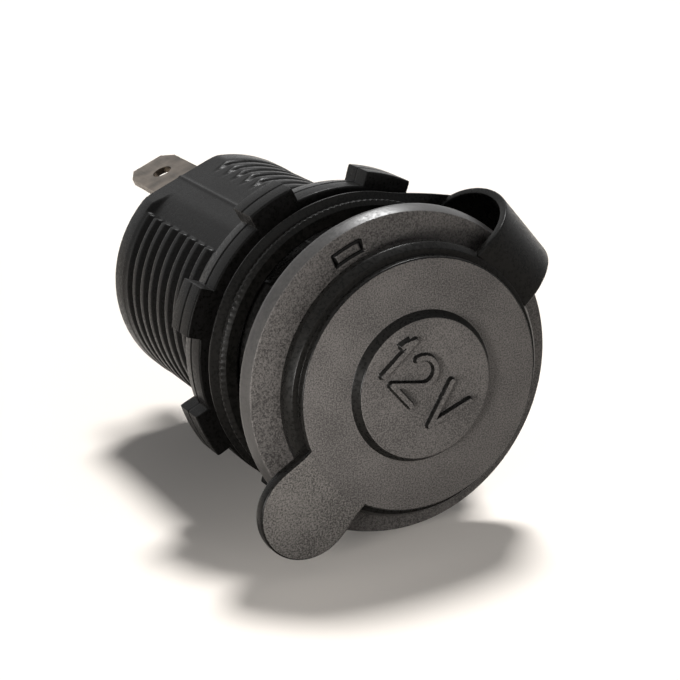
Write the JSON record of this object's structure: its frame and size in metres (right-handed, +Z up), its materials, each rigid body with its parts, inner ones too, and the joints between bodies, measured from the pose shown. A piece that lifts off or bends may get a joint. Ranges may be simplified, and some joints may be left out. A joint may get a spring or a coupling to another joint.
{
  "type": "panel-mount accessory power socket",
  "caption": "Round panel-mount accessory power socket with a threaded barrel, lugged ring nut, blade terminals and a strapped rubber cap.",
  "frame": {"origin": "on the socket's axis, in the plane of the flange's rear face", "axes": "+Y along the socket's axis towards its terminals, the flange and cap face -Y, +Z up as it lies in the picture"},
  "size_m": [0.0378, 0.062, 0.0372],
  "materials": {
    "black_nylon": "satin",
    "black_rubber": "matte",
    "nickel_brass": "satin",
    "fibre_board": "matte"
  },
  "bodies": {
    "socket_body": {"housing": "black_nylon", "contact_shell": "nickel_brass", "rear_plate": "fibre_board", "centre_contact": "nickel_brass", "centre_rivet": "nickel_brass", "centre_terminal": "nickel_brass", "shell_terminal": "nickel_brass", "shell_rivet": "nickel_brass", "cap_strap": "black_rubber", "retaining_ring": "black_rubber"},
    "cap_body": {"cap": "black_rubber"},
    "nut_body": {"panel_nut": "black_nylon"}
  },
  "joints": [
    {"name": "cap_hinge", "type": "hinge", "parent": "socket_body", "child": "cap_body", "pos_m": [0.01465, 0.001, 0.01287], "axis": [-0.66, 0, 0.7513], "range_deg": [0, 120], "deforming": ["cap_strap"]},
    {"name": "nut_travel", "type": "slide", "parent": "socket_body", "child": "nut_body", "axis": [0, 1, 0], "range_m": [-0.0018, 0.0233]}
  ]
}
